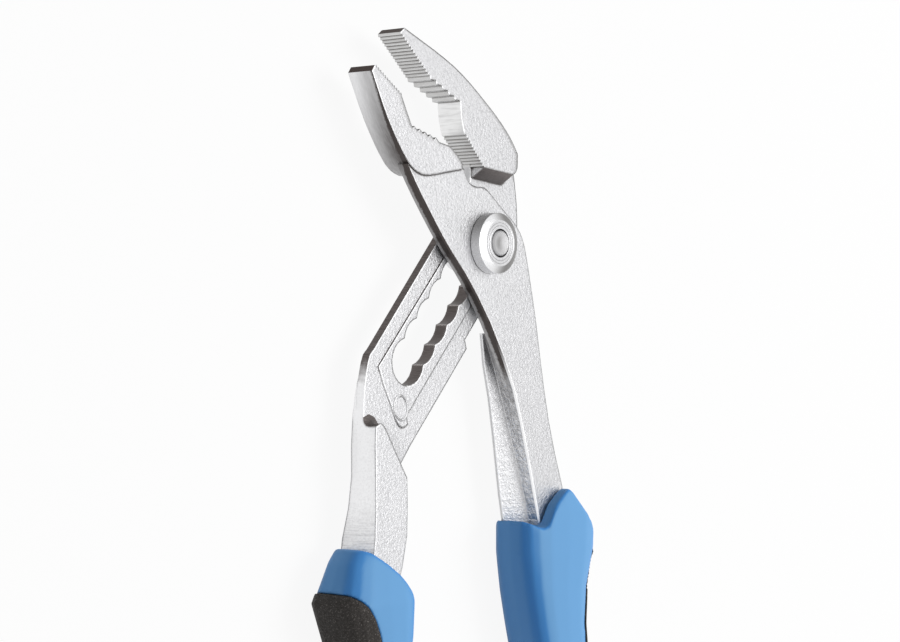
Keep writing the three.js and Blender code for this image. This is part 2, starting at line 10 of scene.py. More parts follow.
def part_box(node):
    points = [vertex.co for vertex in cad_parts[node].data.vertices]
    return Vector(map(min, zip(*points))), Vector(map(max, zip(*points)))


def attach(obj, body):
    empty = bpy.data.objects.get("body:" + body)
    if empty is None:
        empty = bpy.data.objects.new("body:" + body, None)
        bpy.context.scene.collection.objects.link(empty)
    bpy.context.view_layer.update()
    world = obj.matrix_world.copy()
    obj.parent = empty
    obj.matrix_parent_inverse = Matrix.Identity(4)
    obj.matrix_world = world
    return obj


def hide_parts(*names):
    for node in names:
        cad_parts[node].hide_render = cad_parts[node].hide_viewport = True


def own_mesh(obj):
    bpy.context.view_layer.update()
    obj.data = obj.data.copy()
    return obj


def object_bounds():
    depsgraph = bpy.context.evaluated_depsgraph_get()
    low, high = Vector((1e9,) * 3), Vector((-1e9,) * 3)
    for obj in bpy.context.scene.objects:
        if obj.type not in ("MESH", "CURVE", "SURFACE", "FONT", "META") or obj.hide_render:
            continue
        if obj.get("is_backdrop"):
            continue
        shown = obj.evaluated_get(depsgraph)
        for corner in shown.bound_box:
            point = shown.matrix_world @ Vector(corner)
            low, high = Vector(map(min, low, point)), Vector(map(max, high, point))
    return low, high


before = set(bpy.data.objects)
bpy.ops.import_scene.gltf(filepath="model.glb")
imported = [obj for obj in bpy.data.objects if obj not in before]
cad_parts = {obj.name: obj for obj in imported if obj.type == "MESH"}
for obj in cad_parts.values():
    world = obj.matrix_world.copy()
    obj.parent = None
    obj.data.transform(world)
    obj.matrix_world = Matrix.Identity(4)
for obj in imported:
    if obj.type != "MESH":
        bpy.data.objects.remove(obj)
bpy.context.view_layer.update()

MM = 0.001

# Camera of the photograph, in millimetres and degrees
CAMERA_PLACE = (-443.58, -19.375, 365.31)
CAMERA_TILT = 50.4
CAMERA_LENS = 90.8
SENSOR_WIDTH = 36.0
NEAR_CLIP = 10

# Slot of the slotted arm, with the margin in millimetres within which a face belongs to it
SLOT_ANGLE = math.radians(227.15)
SLOT_ALONG = Vector((math.cos(SLOT_ANGLE), math.sin(SLOT_ANGLE), 0))
SLOT_ACROSS = Vector((-SLOT_ALONG.y, SLOT_ALONG.x, 0))
SLOT_REACH = 39.9 * MM
SLOT_HOLE = 5.8 * MM
SLOT_MARGIN = 0.2

# Ground flat between the teeth of the right jaw
FLAT_LOW = 26.5 * MM
FLAT_HIGH = 34.8 * MM
FLAT_FADE = 0.4 * MM

# Heights between which a finish or its painted light and shade changes along the arms
JAW_START = (14 * MM, 20 * MM)
JAW_EDGE_SHADE_END = (28 * MM, 44 * MM)
RELIEF_FADE = (22 * MM, 46 * MM)
PLATE_END = (-36 * MM, -28 * MM)
HANDLE_LOW = (-77 * MM, -60 * MM)
HANDLE_CREASE = (-44 * MM, -41 * MM)
WALL_TIP = (17 * MM, 42 * MM)
WALL_HANDLE = (-70 * MM, -22 * MM)
CHAMFER_TURN = (-36 * MM, -24 * MM)

# Levels through the arms' thickness at which a finish or its painted light and shade changes
SIDE_MIDDLE = 6.5 * MM
WALL_BAND = (8.9 * MM, 9.8 * MM)
WALL_REAR = (4 * MM, 10 * MM)

# Shading of the bolt head and button, across, up or out from the pivot axis, with fine rings about it
RING_RATE = 21000
HEAD_FADE = 0.1 * MM
HEAD_WALL_SHADE = (-2 * MM, 6 * MM)
HEAD_BEVEL_SHADE = (-1.5 * MM, 4.5 * MM)
DISH_FADE = (0.8 * MM, 2.7 * MM)
DISH_SHADE = (-1 * MM, 1.4 * MM)
BUTTON_FADE = (3.2 * MM, 3.4 * MM)

# Width of the painted highlight and shade line along forged edges
EDGE_WIDTH = 0.8 * MM

# Places on the front arm that have a finish or painted shade of their own, in millimetres
BEVEL_LEVEL = 10
LEFT_TEETH_LOW = 19
LEFT_TEETH_END = -10
HOOK_ROWS = (23, 28)
LEFT_TIP_LOW = 39.5

# Places on the slotted arm that have a finish or painted shade of their own, in millimetres
PLATE_SIDE_END = -6
HANDLE_TOP = -36
LEFT_SIDE_TOP = 15
RIGHT_TEETH_LOW = 18.6
RIGHT_TIP_LOW = 49.3
RIGHT_TIP_END = -30
SHOULDER_ROWS = (15, 20)
POCKET_COLUMNS = (-46, -37)
POCKET_ROWS = (-45.5, -41)

# How far a face may lean from upright, as its normal's share along the pivot axis
UPRIGHT = 0.3
NEARLY_UPRIGHT = 0.35
STEEP = 0.4
BEVEL_LEAN = (0.5, 0.85)
SHOULDER_LEAN = (0.2, 0.9)

# Rounding of the right jaw's lower corner, in millimetres and degrees
CORNER_MIDDLE = (9.23, 20.27, 11.2)
CORNER_RADIUS = 2.2
CORNER_CUT = 8
CORNER_STEPS = 96
SHOULDER_SLANT = -32
PLATE_FRONT = 7.27
BLOCK_SIZE = 40

# Blank oval on the plate, in millimetres and degrees
RING_PLACE = (-29.8, -40.3)
RING_SIZE = (2.4, 3.0)
RING_WIRE = 0.28
RING_TILT = 18
RING_STEPS = (64, 12)
RAY_START = 50

# Moulded grips
SLEEVE_VOXEL = 0.4 * MM
SLEEVE_ROUNDS = 24
SLEEVE_SEAM_ROUNDS = 1
INLAY_VOXEL = 0.3 * MM
INLAY_ROUNDS = 3
INLAY_SEAM_ROUNDS = 2
INLAY_SWELL = 0.12 * MM
SMOOTH_SHARE = 0.5
SEAM_KEEP = 0.5 * MM
SEAM_FADE = 2.0 * MM

# Pivot, radii and levels in millimetres
SHANK_RADIUS = 3.8
SHOULDER_RADIUS = 4.8
SHANK_STEP = 7.75
HEAD_BASE = 11.3
HEAD_BEVEL_RISE = 0.65
HEAD_RING_RADIUS = 5.75
HEAD_GROOVES = (5.1, 4.35)
RING_GROOVE = 0.12
BUTTON_HOLE_RADIUS = 3.575
SPRING_FLOOR = 8.3
STEM_RADIUS = 1.5
STEM_HOLE_RADIUS = 1.8
BORE_END = 0.9
PIN_WINDOW = (15.2, 1.3, 3.9)
PIN_WINDOW_MIDDLE = 3.9
BUTTON_THICKNESS = 1.7
BUTTON_EDGE = 0.4
BUTTON_DISH = 0.2
DISH_STEPS = 10
COLLAR_HOLE = 4.1
WASHER_HOLE = 5.8
CAP_HOLE = 3.9
CAP_CAVITY = 5.8
CAP_FLOOR = 0.8
CAP_CHAMFER = 0.6
TURNED_STEPS = 96
LATHE_ROUNDING = 0.12 * MM
LATHE_SEGMENTS = 3
PIN_STEPS = 32
PIN_ROUNDING = 0.15 * MM
SPRING_WIRE = 0.5 * MM
SPRING_SIDES = 12
SPRING_TURNS = 3.5
STEPS_PER_TURN = 40

# Cleaning of meshes, and angles in degrees up to which faces are one flat or shaded as one
COPY_MERGE = 0.002 * MM
SPUN_MERGE = 0.001 * MM
AXIS_NEAR = 0.01 * MM
FLAT_ANGLE = 0.6
FORGED_SMOOTH = 38
BOLT_SMOOTH = 30
BUTTON_SMOOTH = 50
PLAIN_SMOOTH = 40

# Studio: lamps have a place in millimetres, a size in millimetres and a power
FLOOR_DROP = 0.1 * MM
FLOOR_SIZE = 12.0
FLOOR_ROUGHNESS = 0.9
FLOOR_TONES = (0.72, 0.75)
FLOOR_WHITE = 0.92
AMBIENT = 0.3
KEY_LAMP = ((490, 60, 1420), 800, 6)
OVER_LAMP = ((900, 200, 1200), 900, 18.5)

# Colours of the metals, with pairs going from the first to the second
# Pale metal of the handle side, and the painted highlight on forged edges facing left and up
PALE_METAL_AND_EDGE_HIGHLIGHT = (0.95, 0.95, 0.96, 1)
# Painted shade on forged edges facing right and down
PAINTED_EDGE_SHADE = (0.09, 0.085, 0.08, 1)
# Chrome, darker in pits and creases and by painted shade in wide corners
CHROME = ((0.6, 0.6, 0.61, 1), (0.37, 0.37, 0.38, 1))
# Painted shade along the jaws' right-facing rounded edges
ROUNDED_EDGE_SHADE = (0.2, 0.195, 0.19, 1)
# Painted shade in the forgings' inner corners
FORGED_CORNER_SHADE = (0.13, 0.12, 0.115, 1)
# Darkest tone of the handle side, reached by grain, rings, a darker bottom and painted shade
DULL_AND_SHADED_HANDLE = (0.22, 0.22, 0.23, 1)
# Painted shade on the plate's side
PLATE_SIDE_SHADE = ((0.075, 0.064, 0.06, 1), (0.16, 0.14, 0.135, 1))
# Painted shade on the milled walls
SLOT_WALL_SHADE = ((0.075, 0.064, 0.06, 1), (0.17, 0.15, 0.145, 1))
# Painted highlight on the slot's cusps
CUSP_HIGHLIGHT = (0.5, 0.47, 0.46, 1)
# Painted shade to painted light along the front arm's left wall
LEFT_WALL_SHADE_AND_LIGHT = ((0.065, 0.056, 0.053, 1), (0.8, 0.8, 0.81, 1))
# Painted shade beside the pivot to painted highlight down the handle
CHAMFER_SHADE_AND_HIGHLIGHT = ((0.07, 0.06, 0.057, 1), (0.86, 0.86, 0.87, 1))
# Painted shade on the jaw tips
TIP_SHADE = ((0.028, 0.018, 0.015, 1), (0.07, 0.05, 0.044, 1))
CUT_TEETH = ((0.56, 0.555, 0.55, 1), (0.7, 0.7, 0.7, 1))
GROUND_FLAT = ((0.72, 0.72, 0.72, 1), (0.92, 0.92, 0.92, 1))
# Painted shade in the corners between teeth
TOOTH_CORNER_SHADE = (0.12, 0.11, 0.1, 1)
TURNED = ((0.58, 0.58, 0.59, 1), (0.7, 0.7, 0.71, 1))
# Painted highlight on the polished bevel and side wall
TURNED_POLISH_HIGHLIGHT = (0.8, 0.8, 0.81, 1)
TURNED_SHADE = (0.16, 0.155, 0.15, 1)
# Painted shade in the pivot's corners
TURNED_CORNER_SHADE = (0.06, 0.055, 0.05, 1)
# Blackened steel, also the painted shade in the left jaw's notches
BLACKENED_AND_NOTCH_SHADE = ((0.06, 0.058, 0.058, 1), (0.16, 0.155, 0.15, 1))

# Colours of the grips, the blue by how far a face points to the front: painted sheen on the front, painted
# shade where faces bend from side to front
BLUE_AND_SHEEN_STOPS = [
    (0.0, (0.1, 0.3, 0.62, 1)),
    (0.55, (0.045, 0.22, 0.57, 1)),
    (0.86, (0.055, 0.24, 0.575, 1)),
    (0.97, (0.125, 0.325, 0.6, 1)),
]
INLAY = ((0.018, 0.015, 0.013, 1), (0.17, 0.155, 0.145, 1))

# Reach of the bump of fine skins
FINE_SKIN = 0.2 * MM
FINEST_SKIN = 0.1 * MM


class Wire:
    """A shader socket. Sums on it become Math nodes, and node() adds any other node to its tree."""

    def __init__(self, tree, socket=None):
        self.tree = tree
        self.socket = socket

    def node(self, kind, settings=None, sockets=None, outlet=0):
        made = self.tree.nodes.new(kind)
        for name, value in (settings or {}).items():
            if name == "stops":
                set_stops(made.color_ramp, value)
            else:
                setattr(made, name, value)
        for name, value in (sockets or {}).items():
            if isinstance(value, Wire):
                self.tree.links.new(value.socket, made.inputs[name])
            else:
                made.inputs[name].default_value = value
        return Wire(self.tree, made.outputs[outlet] if made.outputs else None)

    def maths(self, operation, first, second=0.0):
        return self.node("ShaderNodeMath", {"operation": operation}, {0: first, 1: second})

    def __add__(self, other):
        return self.maths("ADD", self, other)

    __radd__ = __add__

    def __sub__(self, other):
        return self.maths("SUBTRACT", self, other)

    def __rsub__(self, other):
        return self.maths("SUBTRACT", other, self)

    def __mul__(self, other):
        return self.maths("MULTIPLY", self, other)

    __rmul__ = __mul__

    def __pow__(self, other):
        return self.maths("POWER", self, other)

    def between(self, low, high):
        """0 below low and 1 above high, eased in between."""
        settings = {"interpolation_type": "SMOOTHSTEP"}
        return self.node("ShaderNodeMapRange", settings, {"Value": self, "From Min": low, "From Max": high})

    def blend(self, colour_off, colour_on):
        """A colour that goes from one to the other as this value goes from 0 to 1."""
        return self.node(
            "ShaderNodeMix", {"data_type": "RGBA"}, {0: self, 6: colour_off, 7: colour_on}, outlet=2
        )

    def clamped(self):
        return self.node("ShaderNodeClamp", None, {"Value": self})


def set_stops(ramp, stops):
    while len(ramp.elements) < len(stops):
        ramp.elements.new(0.5)
    for element, (place, colour) in zip(ramp.elements, stops):
        element.position = place
        element.color = colour


def grey(level):
    return (level, level, level, 1.0)


# Finishes


def new_finish(name):
    """A material, its place wire in Object coordinates, and its Principled shader."""
    material = bpy.data.materials.new(name)
    material.use_nodes = True
    tree = material.node_tree
    shader = tree.nodes["Principled BSDF"]
    place = Wire(tree).node("ShaderNodeTexCoord", outlet=3)
    return material, place, shader


def feed(shader, name, wire):
    shader.id_data.links.new(wire.socket, shader.inputs[name])


def noise(place, scale, detail=3.0, roughness=0.5, distortion=0.0):
    sockets = {"Vector": place, "Scale": scale, "Detail": detail, "Roughness": roughness}
    sockets["Distortion"] = distortion
    return place.node("ShaderNodeTexNoise", {"noise_type": "FBM"}, sockets)


def stretched(place, scale, turn=(0, 0, 0)):
    """Place wire turned and scaled, for patterns that run one way."""
    return place.node("ShaderNodeMapping", None, {"Vector": place, "Rotation": turn, "Scale": scale})


def axes(place):
    split = place.node("ShaderNodeSeparateXYZ", None, {"Vector": place})
    outs = split.socket.node.outputs
    return [Wire(place.tree, outs[i]) for i in range(3)]


def bump(height, strength, distance, under=None):
    sockets = {"Height": height, "Strength": strength, "Distance": distance}
    if under is not None:
        sockets["Normal"] = under
    return height.node("ShaderNodeBump", None, sockets)


def soft_edges(place, radius):
    """Normals rounded over sharp edges."""
    return place.node("ShaderNodeBevel", {"samples": 6}, {"Radius": radius})


def painted_corner_shade(place, reach):
    """1 in inner corners and 0 on open faces: the mask of painted shade in corners."""
    settings = {"only_local": True, "samples": 8}
    open_share = place.node("ShaderNodeAmbientOcclusion", settings, {"Distance": reach}, outlet=1)
    return 1 - open_share.between(0.45, 0.9)


def edge_line(place, radius):
    """Three wires: 1 along sharp edges, 1 where a face points right or down, 1 where it stands upright."""
    flat = place.node("ShaderNodeNewGeometry").socket.node.outputs["Normal"]
    rounded = soft_edges(place, radius)
    sockets = {0: rounded, 1: Wire(place.tree, flat)}
    agreement = place.node("ShaderNodeVectorMath", {"operation": "DOT_PRODUCT"}, sockets, outlet=1)
    across, up, out = axes(rounded)
    right = across.between(-0.02, 0.08)
    down = (across * 0.3 - up).between(0.05, 0.25)
    upright = 1 - (out * out).between(0.02, 0.2)
    return 1 - agreement.between(0.94, 0.998), right.maths("MAXIMUM", right, down), upright


def warped(place, scale, reach):
    """Place wire pushed about by noise, so that patterns on it run unevenly."""
    push = Wire(place.tree, noise(place, scale, 3).socket.node.outputs["Color"])
    middle = place.node("ShaderNodeVectorMath", {"operation": "SUBTRACT"}, {0: push, 1: (0.5,) * 3})
    settings = {"operation": "MULTIPLY_ADD"}
    return place.node("ShaderNodeVectorMath", settings, {0: middle, 1: (reach,) * 3, 2: place})


def cutter_lines(place):
    """Fine marks of the cutter across the slot's direction."""
    return noise(stretched(place, (1, 6, 0.35), (0, 0, SLOT_ANGLE)), 900, 3, 0.6)


def grinding_lines(place):
    """Fine marks along the front arm's left wall and chamfer."""
    return noise(stretched(place, (1, 0.25, 3)), 800, 3, 0.6)


def forged_chrome():
    """Blasted and chromed forging: wrinkled skin, faint creases, painted shade in corners and along the
    jaws' right-facing rounded edges, painted highlight and shade along edges.
    """
    material, place, shader = new_finish("forged_chrome")
    wrinkle = noise(place, 1500, 4, 0.55, 0.5)
    grain = noise(place, 2600, 3, 0.6)
    broad = noise(place, 45, 2)
    cells = place.node(
        "ShaderNodeTexVoronoi",
        {"feature": "DISTANCE_TO_EDGE"},
        {"Vector": warped(place, 260, 6 * MM), "Scale": 260},
    )
    crease = (1 - cells.between(0.0, 0.07)) * noise(place, 320, 3).between(0.5, 0.7)
    pit = 1 - wrinkle.between(0.34, 0.54)
    # Painted shade in wide corners, mixed below with pits and creases into the chrome's darker tone
    shade = painted_corner_shade(place, 4 * MM)
    dull_and_shaded = (pit * 0.34 + crease * 0.2 + broad.between(0.35, 0.75) * 0.12 + shade * 0.5).clamped()
    # Painted highlight on edges facing left and up, painted shade on edges facing right and down
    edge, turned_away, _ = edge_line(place, EDGE_WIDTH)
    rim = turned_away.blend(PALE_METAL_AND_EDGE_HIGHLIGHT, PAINTED_EDGE_SHADE)
    chrome_with_painted_edges = edge.blend(dull_and_shaded.blend(*CHROME), rim)
    _, height, _ = axes(place)
    # Painted shade along the jaws' right-facing rounded edges, found by the lean of widely rounded normals
    lean, _, _ = axes(soft_edges(place, 2.4 * MM))
    jaw = height.between(*JAW_START) * (1 - height.between(*JAW_EDGE_SHADE_END))
    edge_shaded = (lean.between(0.06, 0.5) * jaw * 0.85).blend(chrome_with_painted_edges, ROUNDED_EDGE_SHADE)
    # Painted shade in inner corners
    feed(shader, "Base Color", painted_corner_shade(place, 0.9 * MM).blend(edge_shaded, FORGED_CORNER_SHADE))
    feed(shader, "Roughness", 0.36 + grain * 0.1)
    relief = 1 - height.between(*RELIEF_FADE) * 0.75
    skin = wrinkle * relief * 0.8 + grain * 0.1 - crease * 0.12
    feed(shader, "Normal", bump(skin, 0.9, 0.24 * MM, soft_edges(place, 0.5 * MM)))
    shader.inputs["Metallic"].default_value = 1.0
    return material


def satin_side():
    """Left side of the slotted arm: milled along the plate under painted shade, finely blasted down the
    handle, darker towards the bottom, with painted shade along the crease and towards the side's front and
    rear.
    """
    material, place, shader = new_finish("satin_side")
    _, height, level = axes(place)
    grain = noise(place, 2200, 4, 0.6)
    lines = cutter_lines(place)
    # Painted shade towards the front and rear of the rounded side
    from_middle = (level - SIDE_MIDDLE) * (1 / SIDE_MIDDLE)
    rings = noise(stretched(place, (0.06, 1, 0.06)), 2900, 2)
    ragged = height + (noise(place, 500, 3) - 0.5) * (6 * MM)
    plate = ragged.between(*PLATE_END)
    low = 1 - height.between(*HANDLE_LOW)
    edge, _, _ = edge_line(place, EDGE_WIDTH)
    # Painted shade along the crease at the handle's top
    crease = edge * (1 - height.between(*HANDLE_CREASE))
    dull_and_shaded = (grain - 0.5) * 0.5 + rings.between(0.4, 0.7) * low * 0.3 + low * 0.3 + crease * 0.8
    dull_and_shaded = dull_and_shaded + from_middle * from_middle * 0.2
    handle = dull_and_shaded.clamped().blend(PALE_METAL_AND_EDGE_HIGHLIGHT, DULL_AND_SHADED_HANDLE)
    # Painted shade along the plate
    wall = lines.between(0.3, 0.75).blend(*PLATE_SIDE_SHADE)
    feed(shader, "Base Color", plate.blend(handle, wall))
    feed(shader, "Roughness", 0.34 + grain * 0.14)
    skin = grain * 0.5 + rings * low * 0.6 + lines * plate * 0.4
    feed(shader, "Normal", bump(skin, 0.4, 0.25 * MM, soft_edges(place, 0.3 * MM)))
    shader.inputs["Metallic"].default_value = 1.0
    return material


def milled_wall():
    """Machined walls of slot, shoulder and pocket: painted shade, with fine cutter lines across and a
    painted highlight on the cusps.
    """
    material, place, shader = new_finish("milled_wall")
    lines = cutter_lines(place)
    broad = noise(place, 60, 2)
    tone = (lines * 0.6 + broad * 0.5).between(0.3, 0.8)
    # Painted shade
    wall = tone.blend(*SLOT_WALL_SHADE)
    edge, _, upright = edge_line(place, 0.7 * MM)
    # Painted highlight along the upright cusps' edges
    feed(shader, "Base Color", (edge * upright).blend(wall, CUSP_HIGHLIGHT))
    feed(shader, "Roughness", 0.3 + lines * 0.2)
    feed(shader, "Normal", bump(lines, 0.25, 0.2 * MM, soft_edges(place, 0.2 * MM)))
    shader.inputs["Metallic"].default_value = 1.0
    return material


def forged_wall():
    """Left wall of the front arm: a band of painted shade under the edge, painted light at the tip and down
    the handle, hammered at the handle.
    """
    material, place, shader = new_finish("forged_wall")
    _, height, level = axes(place)
    hammered = noise(place, 820, 4, 0.6, 0.6)
    lines = grinding_lines(place)
    jaw = height.between(*JAW_START)
    tip = height.between(*WALL_TIP)
    handle = 1 - height.between(*WALL_HANDLE)
    hatch = noise(stretched(place, (0.3, 2, 2)), 900, 3, 0.6)
    ragged = level - jaw * (0.85 * MM) - tip * (0.9 * MM) + (hatch - 0.5) * (1.0 * MM)
    # Painted shade in a band under the edge
    shaded_band = ragged.between(*WALL_BAND) * (1 - handle.between(0.0, 0.25))
    rear = 1 - level.between(*WALL_REAR)
    rough = (hammered - 0.5) * 1.8 * handle ** 0.5 + (lines - 0.5) * 0.3
    # Painted light at the tip, the jaw's rear and down the handle
    lit = tip * 0.6 + (jaw * 0.45 * rear) + (1 - jaw) * 0.3 + handle * 0.9
    tone = (lit + rough + 0.06 - shaded_band * 0.6).clamped()
    feed(shader, "Base Color", tone.blend(*LEFT_WALL_SHADE_AND_LIGHT))
    feed(shader, "Roughness", 0.3 + hammered * 0.16)
    skin = hammered * handle.between(0.05, 0.3) + lines * 0.12
    feed(shader, "Normal", bump(skin, 1.0, 0.8 * MM, soft_edges(place, 0.25 * MM)))
    shader.inputs["Metallic"].default_value = 1.0
    return material


def edge_chamfer():
    """Chamfer along the cheek's left edge, ground: painted shade beside the pivot, a painted highlight down
    the handle.
    """
    material, place, shader = new_finish("edge_chamfer")
    _, height, _ = axes(place)
    lines = grinding_lines(place)
    # Painted highlight down the handle, painted shade beside the pivot
    bright = 1 - height.between(*CHAMFER_TURN)
    tone = (bright + (lines - 0.5) * 0.15).clamped()
    feed(shader, "Base Color", tone.blend(*CHAMFER_SHADE_AND_HIGHLIGHT))
    feed(shader, "Roughness", 0.26 + lines * 0.14)
    feed(shader, "Normal", bump(lines, 0.15, 0.1 * MM, soft_edges(place, 0.2 * MM)))
    shader.inputs["Metallic"].default_value = 1.0
    return material


def tip_black():
    """Hardened jaw tips, painted dark brown as shade."""
    material, place, shader = new_finish("tip_black")
    grain = noise(place, 1800, 4, 0.6)
    # Painted shade, dark brown
    feed(shader, "Base Color", grain.blend(*TIP_SHADE))
    feed(shader, "Roughness", 0.42 + grain * 0.2)
    feed(shader, "Normal", bump(grain, 0.3, FINE_SKIN, soft_edges(place, 0.2 * MM)))
    shader.inputs["Metallic"].default_value = 0.7
    return material


def tooth_steel():
    """Cut gripping faces, with broaching lines across the jaw and a brighter ground flat."""
    material, place, shader = new_finish("tooth_steel")
    lines = noise(stretched(place, (1, 1, 0.1)), 1900, 3, 0.6)
    _, height, _ = axes(place)
    flat_start = height.between(FLAT_LOW, FLAT_LOW + FLAT_FADE)
    flat = flat_start - height.between(FLAT_HIGH - FLAT_FADE, FLAT_HIGH)
    cut = lines.between(0.3, 0.7).blend(*CUT_TEETH)
    ground = lines.between(0.25, 0.6).blend(*GROUND_FLAT)
    # Painted shade in the corners between teeth
    valley_shade = painted_corner_shade(place, 0.6 * MM)
    feed(shader, "Base Color", valley_shade.blend(flat.blend(cut, ground), TOOTH_CORNER_SHADE))
    feed(shader, "Roughness", 0.28 + lines * 0.14)
    feed(shader, "Normal", bump(lines, 0.2, 0.1 * MM, soft_edges(place, 0.1 * MM)))
    shader.inputs["Metallic"].default_value = 1.0
    return material


def turned_steel():
    """Lathe-turned pivot: rings about the axis, a polished bevel with a painted highlight, painted shade on
    the side wall's top, the bevel's right and top, the dish's left and the button, and in corners.
    """
    material, place, shader = new_finish("turned_steel")
    across, up, level = axes(place)
    radius = (across * across + up * up) ** 0.5
    rings = radius.maths("SINE", radius * RING_RATE)
    streak = noise(place, 1500, 3)
    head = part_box("pivot_bolt")[1].z - HEAD_BEVEL_RISE * MM
    front = level.between(head - HEAD_FADE, head + HEAD_FADE)
    # Masks of painted shade: the side wall's top, the bevel's right and top, the dish's left, the whole
    # button
    wall = (1 - front) * up.between(*HEAD_WALL_SHADE) * 0.8
    ring = HEAD_RING_RADIUS * MM
    bevel = front * radius.between(ring - HEAD_FADE, ring + HEAD_FADE)
    away = (across + up.maths("ABSOLUTE", up) * 0.3).between(*HEAD_BEVEL_SHADE)
    dish = 1 - radius.between(*DISH_FADE)
    hollow = front * dish * (-1 * across).between(*DISH_SHADE)
    button = front * (1 - radius.between(*BUTTON_FADE))
    shaded = (wall + bevel * away * 0.9 + hollow * 0.4 + button * 0.35).clamped()
    clean = streak.blend(*TURNED)
    # Painted highlight on the polished bevel and the side wall
    polish_and_highlight = (bevel + 1 - front).clamped().blend(clean, TURNED_POLISH_HIGHLIGHT)
    dull_and_shaded = shaded.blend(polish_and_highlight, TURNED_SHADE)
    # Painted shade in corners
    feed(shader, "Base Color", painted_corner_shade(place, 0.5 * MM).blend(dull_and_shaded, TURNED_CORNER_SHADE))
    feed(shader, "Roughness", 0.22 + streak * 0.12 + button * 0.15)
    feed(shader, "Normal", bump(rings * 0.5 + streak * 0.5, 0.12, 0.1 * MM))
    shader.inputs["Metallic"].default_value = 1.0
    return material


def dark_steel():
    """Blackened steel of the pivot's inner pieces, and painted shade in the left jaw's notches."""
    material, place, shader = new_finish("dark_steel")
    film = noise(place, 700, 4, 0.6)
    feed(shader, "Base Color", film.blend(*BLACKENED_AND_NOTCH_SHADE))
    feed(shader, "Roughness", 0.32 + film * 0.2)
    shader.inputs["Metallic"].default_value = 1.0
    return material


def blue_grip():
    """Moulded handle sleeve: satin blue with a fine eroded skin, a painted sheen on the flat front."""
    material, place, shader = new_finish("blue_grip")
    skin = noise(place, 3200, 3, 0.6)
    broad = noise(place, 40, 2)
    tone = (broad * 0.7 + skin * 0.3).between(0.25, 0.75)
    # Painted sheen and shade by how far the face points to the front
    _, _, facing = axes(place.node("ShaderNodeTexCoord", outlet=1))
    turned = facing + tone * 0.03 - 0.015
    feed(shader, "Base Color", turned.node("ShaderNodeValToRGB", {"stops": BLUE_AND_SHEEN_STOPS}, {"Fac": turned}))
    feed(shader, "Roughness", 0.42 + skin * 0.14)
    feed(shader, "Normal", bump(skin, 0.1, FINEST_SKIN))
    shader.inputs["Specular IOR Level"].default_value = 0.35
    return material


def dark_inlay():
    """Soft inlay: near black, with pale specks in a pebbled skin."""
    material, place, shader = new_finish("dark_inlay")
    pebble = place.node("ShaderNodeTexVoronoi", None, {"Vector": place, "Scale": 1900})
    speck = noise(place, 2600, 3, 0.7).between(0.55, 0.7)
    feed(shader, "Base Color", speck.blend(*INLAY))
    feed(shader, "Roughness", 0.62 + pebble * 0.3)
    feed(shader, "Normal", bump(pebble, 0.5, FINE_SKIN))
    return material


# Modelling helpers


def deselect():
    if bpy.context.object and bpy.context.object.mode != "OBJECT":
        bpy.ops.object.mode_set(mode="OBJECT")
    bpy.ops.object.select_all(action="DESELECT")


def pick(piece):
    deselect()
    piece.select_set(True)
    bpy.context.view_layer.objects.active = piece


def cad_copy(node, name):
    """A merged copy of a CAD node's mesh, with its flat faces whole."""
    piece = bpy.data.objects.new(name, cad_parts[node].data.copy())
    bpy.context.scene.collection.objects.link(piece)
    piece.data.materials.clear()
    pick(piece)
    bpy.ops.object.mode_set(mode="EDIT")
    bpy.ops.mesh.select_all(action="SELECT")
    bpy.ops.mesh.remove_doubles(threshold=COPY_MERGE)
    bpy.ops.mesh.dissolve_limited(angle_limit=math.radians(FLAT_ANGLE))
    bpy.ops.object.mode_set(mode="OBJECT")
    bpy.ops.mesh.customdata_custom_splitnormals_clear()
    return piece


def applied(piece, kind, **settings):
    pick(piece)
    modifier = piece.modifiers.new(kind.title(), kind)
    for name, value in settings.items():
        setattr(modifier, name, value)
    bpy.ops.object.modifier_apply(modifier=modifier.name)


def smooth(piece, angle):
    pick(piece)
    bpy.ops.object.shade_smooth_by_angle(angle=math.radians(angle))


def dress(piece, body, slot, *nodes):
    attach(piece, body)
    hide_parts(*nodes)


def face_finish(piece, material, test):
    """Gives a finish to faces whose middle (in millimetres) and normal pass the test, the first to all."""
    piece.data.materials.append(material)
    index = len(piece.data.materials) - 1
    for face in piece.data.polygons:
        if index == 0 or test(face.center / MM, face.normal):
            face.material_index = index


# Forged arms


def within(value, limits):
    low, high = limits
    return low < value < high


def in_slot(point):
    """Whether a point in millimetres lies in the slot, by its reach along it and its offset across."""
    half = SLOT_HOLE / MM + SLOT_MARGIN
    end = (SLOT_REACH + SLOT_HOLE) / MM + SLOT_MARGIN
    return within(point.dot(SLOT_ALONG), (-half, end)) and abs(point.dot(SLOT_ACROSS)) < half


